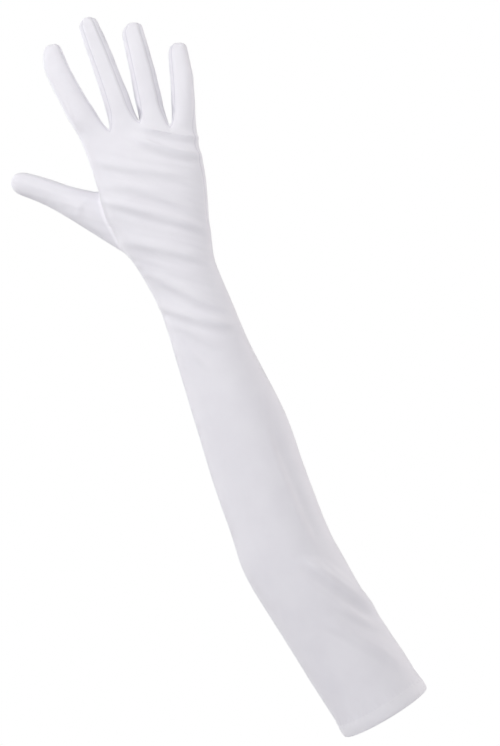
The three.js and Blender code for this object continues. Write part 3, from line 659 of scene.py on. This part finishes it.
# Folds and creases of the worn cloth
folds = {
    "samples": 24,
    "ends": {"back": 0.28, "palm": 0.42},  # share of a fold's length over which it dies out at each end
    "flanks": (0.85, 0.8),  # the breadth of a fold's upper and lower flank, as shares of its own
    "crease": {"depth": 0.32, "place": 1.4, "width": 0.7},  # the sharp valley under a fold on the back
    "turned": (-0.2, 0.45),  # a fold dies out where the surface turns from its side
    # on each side: a fold's start, control point and end as x and z, half of its breadth, its height
    "paths": {
        "back": [
            (-30, 480, -2, 456, 22, 450, 3.3, 2),
            (-36, 475, -6, 442, 20, 437, 4, 2.2),
            (-70, 466, -40, 446, 7, 422, 4.4, 1.1),
            (-66, 444, -36, 433, -1, 396, 3.9, 1.2),
            (-73, 436, -41, 414, 12, 374, 3.9, 1.6),
            (-71, 406, -41, 382, -4, 362, 4.4, 1.5),
            (-58, 376, -37, 347, -1, 317, 4.5, 1.8),
            (-60, 353, -40, 324, 3, 307, 4.4, 1.8),
            (-55, 335, -37, 316, -17, 295, 4.2, 0.9),
            (-51, 311, -36, 294, -28, 278, 4, 0.5),
            (-22, 137, 0, 109, 32, 57, 5.4, 3.2),
            (-8, 132, 3, 110, 20, 80, 1.8, 0.5),
            (9, 86, 17, 81, 25, 60, 4, 0.6),
            (-11, 99, 10, 71, 34, 48, 3.6, 1.15),
            (-25, 89, 4, 65, 29, 23, 5.2, 1.3),
            (-6, 244, -8, 181, -1, 125, 4.5, -1.3),
        ],
        "palm": [
            (-42, 386, -36, 425, -34, 462, 13, -3),
            (-10, 378, -3, 405, 2, 440, 11, 1.6),
            (-58, 466, -22, 465, 8, 451, 8, 1.2),
            (-50, 350, -28, 343, -6, 348, 5, -1),
            (-52, 330, -28, 322, -6, 328, 6, 0.8),
            (-56, 128, -24, 112, 8, 118, 9, -1.8),
            (-50, 100, -20, 86, 12, 94, 8, 1.3),
        ],
    },
    # narrow creases that only the finished cloth has
    "creases": {
        "back": [
            (-25.7, 477.3, -6.1, 458.7, 20.8, 451.3, 1.2, 0.55),
            (-28, 470.9, -8.4, 445.7, 17.8, 438.8, 1.3, 0.65),
            (-41.6, 416, -24.1, 404.9, -0.7, 383.6, 1.5, 0.3),
            (-113, 447, -110, 451, -107, 456, 2, 0.7),
            (-108, 443, -105, 446, -101, 453, 1.8, 0.65),
            (-103, 438, -99, 442, -95, 448, 1.8, 0.65),
            (-99, 433, -94, 439, -89, 443, 1.8, 0.65),
            (-93, 427, -88, 433, -83, 439, 3, 0.7),
            (-73, 549, -66, 546, -59, 542, 2.5, 0.35),
            (-72, 539, -63, 534, -58, 534, 2.5, 0.35),
            (12, 489, 16, 490, 20, 486, 2, 0.4),
            (4, 467, 8, 468, 12, 463, 2, 0.5),
            (-21, 480, -16, 480, -11, 475, 2.2, 0.5),
            (-19.3, 489.3, -20.5, 485, -21.1, 478.8, 1.5, -1.6),
            (5.4, 483.6, 1.8, 476.1, -2.7, 468.1, 1.6, -1.8),
        ],
        "palm": [
            (-92, 428, -88, 438, -88, 446, 2.4, -0.4),
            (-58, 480, -52, 478, -46, 480, 2.4, -0.3),
            (-44, 478, -34, 476, -24, 478, 2.4, -0.3),
            (-20, 474, -10, 471, 0, 470, 2.4, -0.3),
            (-46, 362, -30, 356, -12, 362, 2.6, -0.4),
        ],
    },
    # the cloth is nowhere quite even, least of all on the fingers
    "ripple": {"height": 0.16, "length": 17, "low": 14, "high": 40},
    "fingerRipple": {"height": 0.4, "length": 11, "low": 455, "high": 490},
    # fine drawn folds on the back of the hand and the wrist: their height, how long and broad they are, the
    # degrees by which they fall to the little finger's side, and where they begin and end
    "drawn": {"height": 0.34, "long": 26, "broad": 3.4, "fall": 33, "low": (285, 330), "high": (462, 480)},
    "puckers": {"height": 0.3, "length": 4.6, "place": 11.5, "width": 2.6},  # over the hem's stitches
}


def cornersOf(piece):
    mesh = piece.data
    places, normals = np.empty(len(mesh.vertices) * 3), np.empty(len(mesh.vertices) * 3)
    mesh.vertices.foreach_get("co", places)
    mesh.vertex_normals.foreach_get("vector", normals)
    return places.reshape(-1, 3), normals.reshape(-1, 3)


def easeAll(values, low, high):
    share = np.clip((values - low) / (high - low), 0, 1)
    return share * share * (3 - 2 * share)


def pathDistance(points, path):
    # how far each point lies above a drawn path, or below it, and the share of the path's length there
    steps = np.diff(path, axis=0)
    offsets = points[:, None, :] - path[:-1]
    along = np.clip((offsets * steps).sum(2) / (steps ** 2).sum(1), 0, 1)
    gaps = np.linalg.norm(offsets - along[..., None] * steps, axis=2)
    nearest = gaps.argmin(1)
    rows = np.arange(len(points))
    step, offset = steps[nearest], offsets[rows, nearest]
    above = np.sign(step[:, 0] * offset[:, 1] - step[:, 1] * offset[:, 0])
    return above * gaps[rows, nearest], (nearest + along[rows, nearest]) / len(steps)


def liftCorners(mesh, places, normals, lift):
    mesh.vertices.foreach_set("co", (places + normals * lift[:, None] * mm).ravel())
    mesh.update()


def foldLift(places, normals, side, fold):
    x0, z0, x1, z1, x2, z2, width, height = fold
    t = np.linspace(0, 1, folds["samples"] + 1)[:, None]
    path = (1 - t) ** 2 * (x0, z0) + 2 * t * (1 - t) * (x1, z1) + t ** 2 * (x2, z2)
    gaps, shares = pathDistance(places[:, (0, 2)] / mm, path)
    facing = easeAll(normals[:, 1] * (-1 if side == "back" else 1), *folds["turned"])
    fade = easeAll(np.minimum(shares, 1 - shares), 0, folds["ends"][side])
    upper, lower = folds["flanks"]
    ridge = np.exp(-(gaps / np.where(gaps > 0, upper * width, lower * width)) ** 2)
    crease = folds["crease"]
    depth = crease["depth"] if side == "back" else 0
    valley = depth * np.exp(-((gaps / width + crease["place"]) / crease["width"]) ** 2)
    return height * facing * fade * (ridge - valley)


def unevenness(places, length):
    return np.array([noise.noise(Vector(place) / (length * mm)) for place in places])


def puckerLift(places):
    # small gathers where the hem's stitches draw the cloth in
    puckers = folds["puckers"]
    lean = math.radians(readArm(puckers["place"])["lean"])
    untilted = places[:, 2] + hem["tilt"] * places[:, 1]
    height = (untilted * math.cos(lean) - places[:, 0] * math.sin(lean)) / mm
    near = np.exp(-((height - puckers["place"]) / puckers["width"]) ** 2)
    around = np.arctan2(places[:, 1], places[:, 0]) * np.hypot(places[:, 0], places[:, 1])
    uneven = unevenness(places, 2 * puckers["length"])
    return puckers["height"] * near * np.sin(2 * math.pi * around / (puckers["length"] * mm) + 3 * uneven)


def drawnLift(places, normals):
    # long narrow undulations beside the large folds, on the back alone
    drawn = folds["drawn"]
    fall = math.radians(drawn["fall"])
    along = places[:, 0] * math.cos(fall) - places[:, 2] * math.sin(fall)
    across = places[:, 0] * math.sin(fall) + places[:, 2] * math.cos(fall)
    stretched = np.stack([along / drawn["long"], across / drawn["broad"], np.zeros(len(places))], 1)
    height = places[:, 2] / mm
    zone = easeAll(height, *drawn["low"]) * (1 - easeAll(height, *drawn["high"]))
    return drawn["height"] * unevenness(stretched, 1) * zone * easeAll(-normals[:, 1], *folds["turned"])


def pressFolds(piece):
    places, normals = cornersOf(piece)
    pressed = [(side, fold) for name in ("paths", "creases") for side, rows in folds[name].items()
               for fold in rows]
    lift = sum(foldLift(places, normals, side, fold) for side, fold in pressed)
    for ripple in (folds["ripple"], folds["fingerRipple"]):
        zone = easeAll(places[:, 2] / mm, ripple["low"], ripple["high"])
        lift += ripple["height"] * unevenness(places, ripple["length"]) * zone
    lift += drawnLift(places, normals) + puckerLift(places)
    liftCorners(piece.data, places, normals, lift)
    print("folds pressed,", len(pressed))


# Seams
seams = {
    "step": 0.3,  # between the points by which the distance to a seam is measured
    "groove": {"depth": 0.28, "width": 0.7},
    "welt": {"height": 0.16, "place": 2, "width": 1},  # the seam's allowance, pressed flat under the cloth
    "roll": {"height": 0.5, "place": 1.4, "width": 1.2},  # the hand's cloth rolls over the thumb's seam
    "turned": (-0.1, 0.4),  # the painted highlight along the roll ends where the surface turns to the palm's side
}


def seamGaps(ends, places):
    # every point's distance to the nearest of the seam's edges
    samples = []
    for low, high in zip(places[ends[:, 0]], places[ends[:, 1]]):
        count = max(2, int(np.linalg.norm(high - low) / (seams["step"] * mm)) + 1)
        samples.extend(low + (high - low) * share for share in np.linspace(0, 1, count))
    tree = KDTree(len(samples))
    for number, sample in enumerate(samples):
        tree.insert(sample, number)
    tree.balance()
    return np.array([tree.find(place)[2] for place in places])


def pressSeams(piece):
    # stores every point's distance to the nearest seam and to the thumb's, which places the painted
    # highlight along the roll, and shapes the cloth beside them
    mesh = piece.data
    places, normals = cornersOf(piece)
    ends = np.array([edge.vertices[:] for edge in mesh.edges if edge.use_seam])
    onThumb = np.zeros(len(places), bool)
    for face, belongs in zip(mesh.polygons, mesh.attributes["piece"].data):
        if belongs.value == pieceNames.index("thumb_cloth"):
            onThumb[list(face.vertices)] = True
    gaps = seamGaps(ends, places)
    thumbGaps = seamGaps(ends[onThumb[ends].all(axis=1)], places)
    # where the surface turns to the palm's side the distance is pushed past the painted highlight's end, so
    # the highlight stays on the side the lamps light
    unlit = easeAll(normals[:, 1], *seams["turned"]) * thumbHighlightLine[1] * mm
    for name, values in (("seamDistance", gaps), ("thumbHighlightDistance", thumbGaps + unlit)):
        mesh.attributes.new(name, "FLOAT", "POINT").data.foreach_set("value", values)
    groove, welt, roll = seams["groove"], seams["welt"], seams["roll"]
    lift = -groove["depth"] * np.exp(-(gaps / mm / groove["width"]) ** 2)
    lift += welt["height"] * np.exp(-((gaps / mm - welt["place"]) / welt["width"]) ** 2)
    rolled = np.exp(-((thumbGaps / mm - roll["place"]) / roll["width"]) ** 2)
    lift += np.where(onThumb, 0, roll["height"] * rolled)
    liftCorners(mesh, places, normals, lift)
    print("seams pressed,", len(ends), "edges")


# The pieces of cloth, and their thickness
walls = {"glove_cloth": 1, "cuff_hem_cloth": 0.9, "thumb_cloth": 1, "strip_index_middle": 1,
         "strip_middle_ring": 1, "strip_ring_little": 1}
sharpAngle = 50


def selectOnly(*chosen):
    bpy.ops.object.select_all(action="DESELECT")
    for one in chosen:
        one.select_set(True)
    bpy.context.view_layer.objects.active = chosen[0]


def separatePieces():
    whole = cage["object"]
    made = {pieceNames[0]: whole}
    for number, name in enumerate(pieceNames[1:], start=1):
        selectOnly(whole)
        bpy.ops.object.mode_set(mode="EDIT")
        bpy.ops.mesh.select_mode(type="FACE")
        mesh, layers = clearedMesh()
        for face in mesh.faces:
            face.select = face[layers["piece"]] == number
        updateCage()
        bpy.ops.mesh.separate(type="SELECTED")
        bpy.ops.object.mode_set(mode="OBJECT")
        made[name] = next(other for other in bpy.context.selected_objects if other != whole)
    for name, piece in made.items():
        piece.name = piece.data.name = name
    return made


def giveThickness(piece, thickness):
    selectOnly(piece)
    bpy.ops.object.modifier_add(type="SOLIDIFY")
    wall = piece.modifiers[-1]
    wall.thickness = thickness * mm
    wall.offset = -1
    bpy.ops.object.modifier_apply(modifier=wall.name)
    for spare in [layer.name for layer in piece.data.uv_layers if layer.name != "cloth"]:
        piece.data.uv_layers.remove(piece.data.uv_layers[spare])
    bpy.ops.object.shade_smooth_by_angle(angle=math.radians(sharpAngle))
    print(piece.name, "has its wall,", len(piece.data.polygons), "faces")


# Stitches that hold the hem, outside and inside
stitches = {
    "count": 82,
    "segments": 8,
    "rings": 6,
    "height": 9.3,
    "length": 2.1,
    "thick": 0.34,
    "raised": {"outside": 0.02, "inside": -1.86},
    "ahead": 0.01,  # radians to the point that gives a stitch its direction
}


def makeStitches():
    bpy.ops.object.select_all(action="DESELECT")
    bpy.ops.mesh.primitive_uv_sphere_add(segments=stitches["segments"], ring_count=stitches["rings"],
                                         radius=mm / 2)
    pattern = bpy.context.object
    bpy.ops.object.mode_set(mode="EDIT")
    bpy.ops.mesh.select_all(action="SELECT")
    bpy.ops.transform.resize(value=(stitches["thick"], stitches["thick"], stitches["length"]))
    bpy.ops.object.mode_set(mode="OBJECT")
    section = readArm(stitches["height"])
    lean = math.radians(section["lean"])
    axis = Vector((-math.sin(lean), 0, math.cos(lean)))
    placed = []
    for raised in stitches["raised"].values():
        wider = dict(section, width=section["width"] + 2 * raised, back=section["back"] + raised,
                     palm=section["palm"] + raised)
        for number in range(stitches["count"]):
            angle = 2 * math.pi * number / stitches["count"]
            place, after = (tilted(sectionPoint(wider, at), stitches["height"])
                            for at in (angle, angle + stitches["ahead"]))
            ahead = (after - place).normalized()
            outward = ahead.cross(axis).normalized()
            turn = Matrix((outward, axis, ahead)).transposed().to_4x4()
            stitch = pattern.copy()
            stitch.data = pattern.data.copy()
            stitch.data.transform(Matrix.Translation(place * mm) @ turn)
            bpy.context.collection.objects.link(stitch)
            placed.append(stitch)
    bpy.data.objects.remove(pattern)
    selectOnly(*placed)
    bpy.ops.object.join()
    row = bpy.context.object
    row.name = row.data.name = "hem_stitches"
    bpy.ops.object.shade_smooth()
    print("hem stitched,", len(placed), "stitches")
    return row


# Materials
knit = {
    "wale": 0.42,  # mm between two columns of loops
    "course": 0.34,  # mm between two rows of loops
    "slant": 1.1,
    "rowShare": 0.3,  # how much of a loop's height its rows make up
    "loopDepth": 0.05,
    # painted shade: the share by which the hollows between the knit's loops are painted darker
    "loopShade": 0.2,
    "grainDepth": 0.06,
    "grain": {"Scale": 850, "Detail": 2},
    "patch": {"Scale": 34, "Detail": 3},
    "patchSpan": (0.35, 0.65),
    "patchShade": 0.8,
    "roughSpan": (0.3, 0.7),
    "specular": 0.3,
    "sheenRough": 0.4,
}
clothLooks = {
    "glove_cloth": {"light": (0.87, 0.863, 0.903), "dark": (0.842, 0.833, 0.877),
                    "seam": (0.74, 0.73, 0.785), "rough": (0.58, 0.7), "sheen": 0.3},
    "side_strip": {"light": (0.85, 0.843, 0.885), "dark": (0.82, 0.811, 0.86),
                   "seam": (0.74, 0.73, 0.785), "rough": (0.6, 0.72), "sheen": 0.25},
    "hem": {"light": (0.89, 0.883, 0.918), "dark": (0.862, 0.855, 0.893), "seam": (0.8, 0.79, 0.835),
            "rough": (0.58, 0.7), "sheen": 0.35},
}
seamLine = (0.1, 0.75)  # mm from a seam to where its dark line is fullest and where it ends
thumbHighlightLine = (1.1, 3.6)  # the same for the painted highlight along the roll at the thumb's seam
# the colour of the painted highlight along the roll at the thumb's seam
rollHighlightColour = (0.955, 0.948, 0.985)


def fillSockets(tree, node, sockets):
    for key, value in sockets.items():
        if isinstance(value, bpy.types.NodeSocket):
            tree.links.new(value, node.inputs[key])
        else:
            node.inputs[key].default_value = value


def addNode(tree, kind, sockets, **settings):
    node = tree.nodes.new(kind)
    for key, value in settings.items():
        setattr(node, key, value)
    fillSockets(tree, node, sockets)
    return node


def computed(tree, operation, *values):
    return addNode(tree, "ShaderNodeMath", dict(enumerate(values)), operation=operation).outputs[0]


def remapped(tree, value, low, high, toLow, toHigh):
    sockets = {"Value": value, "From Min": low, "From Max": high, "To Min": toLow, "To Max": toHigh}
    return addNode(tree, "ShaderNodeMapRange", sockets, interpolation_type="SMOOTHSTEP").outputs[0]


def mixed(tree, share, one, two):
    # the sockets are the share, the two colours and the mixed colour
    one, two = [(*value, 1) if isinstance(value, tuple) else value for value in (one, two)]
    return addNode(tree, "ShaderNodeMix", {0: share, 6: one, 7: two}, data_type="RGBA").outputs[2]


def startMaterial(name):
    material = bpy.data.materials.new(name)
    material.use_nodes = True
    tree = material.node_tree
    place = tree.nodes.new("ShaderNodeTexCoord").outputs["Object"]
    return material, tree, tree.nodes["Principled BSDF"], place


def addNoise(tree, place, sockets):
    return addNode(tree, "ShaderNodeTexNoise", {"Vector": place, **sockets}).outputs["Fac"]


def bumped(tree, sockets):
    return addNode(tree, "ShaderNodeBump", sockets).outputs[0]


def knitLoops(tree):
    # the height of the knit's loops, which follow the cloth
    cloth = addNode(tree, "ShaderNodeUVMap", {}, uv_map="cloth").outputs[0]
    split = addNode(tree, "ShaderNodeSeparateXYZ", {0: cloth})
    across = computed(tree, "DIVIDE", split.outputs[0], knit["wale"] * mm)
    along = computed(tree, "DIVIDE", split.outputs[1], knit["course"] * mm)
    # 0 between two columns of loops and 0.5 in the middle of one
    leg = computed(tree, "PINGPONG", across, 0.5)
    slanted = computed(tree, "MULTIPLY_ADD", leg, knit["slant"], along)
    rows = computed(tree, "SINE", computed(tree, "MULTIPLY", slanted, 2 * math.pi))
    columns = computed(tree, "SINE", computed(tree, "MULTIPLY", leg, math.pi))
    rows = computed(tree, "MULTIPLY_ADD", rows, knit["rowShare"], 1 - knit["rowShare"])
    return computed(tree, "MULTIPLY", columns, rows)


def beyondSeam(tree, attribute, line):
    # 0 where the line along a seam is fullest and 1 where it has ended
    gap = addNode(tree, "ShaderNodeAttribute", {}, attribute_name=attribute).outputs["Fac"]
    return remapped(tree, gap, line[0] * mm, line[1] * mm, 0, 1)


def clothMaterial(name, look):
    material, tree, shader, place = startMaterial(name)
    loops = knitLoops(tree)
    patch = addNoise(tree, place, knit["patch"])
    patchShade = remapped(tree, patch, *knit["patchSpan"], 0, knit["patchShade"])
    # the hollows between the loops are painted darker, as painted shade, and the patches vary the cloth's
    # tone
    shadeAndTone = computed(tree, "MULTIPLY_ADD", loops, knit["loopShade"], patchShade)
    ground = mixed(tree, shadeAndTone, look["dark"], look["light"])
    seamed = mixed(tree, beyondSeam(tree, "seamDistance", seamLine), look["seam"], ground)
    # painted highlight: a lighter colour along the roll beside the thumb's seam
    rolled = mixed(tree, beyondSeam(tree, "thumbHighlightDistance", thumbHighlightLine), rollHighlightColour, seamed)
    rough = remapped(tree, patch, *knit["roughSpan"], *look["rough"])
    grain = addNoise(tree, place, knit["grain"])
    coarse = bumped(tree, {"Distance": knit["grainDepth"] * mm, "Height": grain})
    fine = bumped(tree, {"Distance": knit["loopDepth"] * mm, "Height": loops, "Normal": coarse})
    fillSockets(tree, shader, {"Base Color": rolled, "Roughness": rough, "Normal": fine,
                               "Specular IOR Level": knit["specular"], "Sheen Weight": look["sheen"],
                               "Sheen Roughness": knit["sheenRough"]})
    return material


threadLook = {"light": (0.9, 0.9, 0.92), "dark": (0.8, 0.8, 0.84), "twist": 0.7, "waver": 1,
              "relief": 0.04, "rough": 0.5}


def threadMaterial():
    material, tree, shader, place = startMaterial("stitch_thread")
    wave = addNode(tree, "ShaderNodeTexWave", {"Vector": place, "Scale": 1 / (threadLook["twist"] * mm),
                                               "Distortion": threadLook["waver"]},
                   bands_direction="DIAGONAL")
    strand = wave.outputs["Fac"]
    colour = mixed(tree, strand, threadLook["dark"], threadLook["light"])
    bump = bumped(tree, {"Distance": threadLook["relief"] * mm, "Height": strand})
    fillSockets(tree, shader, {"Base Color": colour, "Roughness": threadLook["rough"], "Normal": bump})
    return material


# Room
room = {
    "floorHeight": -0.3,
    "floorRadius": 0.9,
    "floorPoints": 96,
    "floorLight": (0.86, 0.86, 0.87),
    "floorDark": (0.82, 0.82, 0.835),
    "floorClouds": {"Scale": 3, "Detail": 3},
    "floorRough": 0.8,
    "surround": 0.3,
    "fromBehind": 0.02,  # how much brighter the room is behind the glove than beside it
    "colour": (0.985, 0.96, 1),
}
# place in the photograph's frame (to the right, up and towards the camera), power and colour
lamps = {
    "left_light": ((-1, 0.45, 0.45), 3.6, (1, 1, 1)),
    "low_left_light": ((-0.8, -0.3, 0.7), 1.4, (1, 1, 1)),
    "top_light": ((0.35, 0.8, 0.4), 2.3, (1, 0.99, 0.97)),
    "top_left_light": ((-0.7, 0.7, 0.6), 2.2, (1, 1, 1)),
    "front_light": ((0.05, 0.4, 1.15), 3.5, (1, 1, 1)),
    "right_rim_light": ((1, 0.2, -0.6), 5.6, (1, 0.96, 0.94)),
    "left_rim_light": ((-1, 0.2, -0.6), 5.6, (1, 1, 1)),
}
lampSize = 0.8
camera = {
    "place": (-0.00866, -1.36, 0.27398),
    "lean": 20,  # degrees that the arm leans in the photograph
    "lens": 87.5,
    "sensor": 36,
}


def frameAxes():
    lean = math.radians(camera["lean"])
    right = Vector((math.cos(lean), 0, -math.sin(lean)))
    up = Vector((math.sin(lean), 0, math.cos(lean)))
    return right, up, Vector((0, -1, 0))


def makeFloor():
    bpy.ops.mesh.primitive_circle_add(vertices=room["floorPoints"], radius=room["floorRadius"],
                                      fill_type="NGON", location=(0, 0, room["floorHeight"]))
    floor = bpy.context.object
    floor.name = "floor"
    material, tree, shader, place = startMaterial("floor_paint")
    clouds = addNoise(tree, place, room["floorClouds"])
    colour = mixed(tree, clouds, room["floorDark"], room["floorLight"])
    fillSockets(tree, shader, {"Base Color": colour, "Roughness": room["floorRough"]})
    floor.data.materials.append(material)


def makeWorld():
    world = bpy.data.worlds.new("studio")
    world.use_nodes = True
    tree = world.node_tree
    output = tree.nodes["World Output"]
    seen = tree.nodes["Background"]
    seen.inputs["Color"].default_value = (1, 1, 1, 1)
    direction = tree.nodes.new("ShaderNodeTexCoord").outputs["Generated"]
    split = addNode(tree, "ShaderNodeSeparateXYZ", {0: direction})
    strength = computed(tree, "MULTIPLY_ADD", split.outputs[1], room["fromBehind"], room["surround"])
    light = addNode(tree, "ShaderNodeBackground", {"Color": (*room["colour"], 1), "Strength": strength})
    path = tree.nodes.new("ShaderNodeLightPath")
    mix = addNode(tree, "ShaderNodeMixShader", {0: path.outputs["Is Camera Ray"], 1: light.outputs[0],
                                                2: seen.outputs[0]})
    tree.links.new(mix.outputs[0], output.inputs["Surface"])
    bpy.context.scene.world = world
    bpy.context.scene.view_settings.view_transform = "Standard"


def makeLamps():
    right, up, near = frameAxes()
    middle = Vector((camera["place"][0], 0, camera["place"][2]))
    for name, (place, power, colour) in lamps.items():
        offset = right * place[0] + up * place[1] + near * place[2]
        data = bpy.data.lights.new(name, "AREA")
        data.size = lampSize
        data.energy = power
        data.color = colour
        made = bpy.data.objects.new(name, data)
        made.location = middle + offset
        made.rotation_euler = offset.to_track_quat("Z", "Y").to_euler()
        bpy.context.collection.objects.link(made)


def makeCamera():
    right, up, near = frameAxes()
    data = bpy.data.cameras.new("camera")
    data.lens = camera["lens"]
    data.sensor_width = camera["sensor"]
    made = bpy.data.objects.new("camera", data)
    turn = Matrix((right, up, near)).transposed().to_4x4()
    made.matrix_world = Matrix.Translation(camera["place"]) @ turn
    bpy.context.collection.objects.link(made)
    bpy.context.scene.camera = made


makeSleeve()
handRings = makeHand()
makeFingers(handRings[-1])
makeThumb(handRings)
finishCage()
pressFolds(cage["object"])
pressSeams(cage["object"])
pieces = separatePieces()
for name, thickness in walls.items():
    giveThickness(pieces[name], thickness)
pieces["hem_stitches"] = makeStitches()

slots = {name: "side_strip" if name.startswith("strip") else "glove_cloth" for name in pieces}
slots["cuff_hem_cloth"] = slots["hem_stitches"] = "hem"
materials = {name: clothMaterial(name + "_knit", look) for name, look in clothLooks.items()}
for name, piece in pieces.items():
    piece.data.materials.clear()
    piece.data.materials.append(threadMaterial() if name == "hem_stitches" else materials[slots[name]])
    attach(piece, "root")
print("materials made,", len(materials) + 1)

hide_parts("arm_sleeve", "hand", "index_finger", "middle_finger", "ring_finger",
            "little_finger")
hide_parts("cuff_hem")
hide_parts("thumb")
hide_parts("fourchette_index_middle")
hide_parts("fourchette_middle_ring")
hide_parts("fourchette_ring_little")

makeFloor()
makeWorld()
makeLamps()
makeCamera()
print("room made")
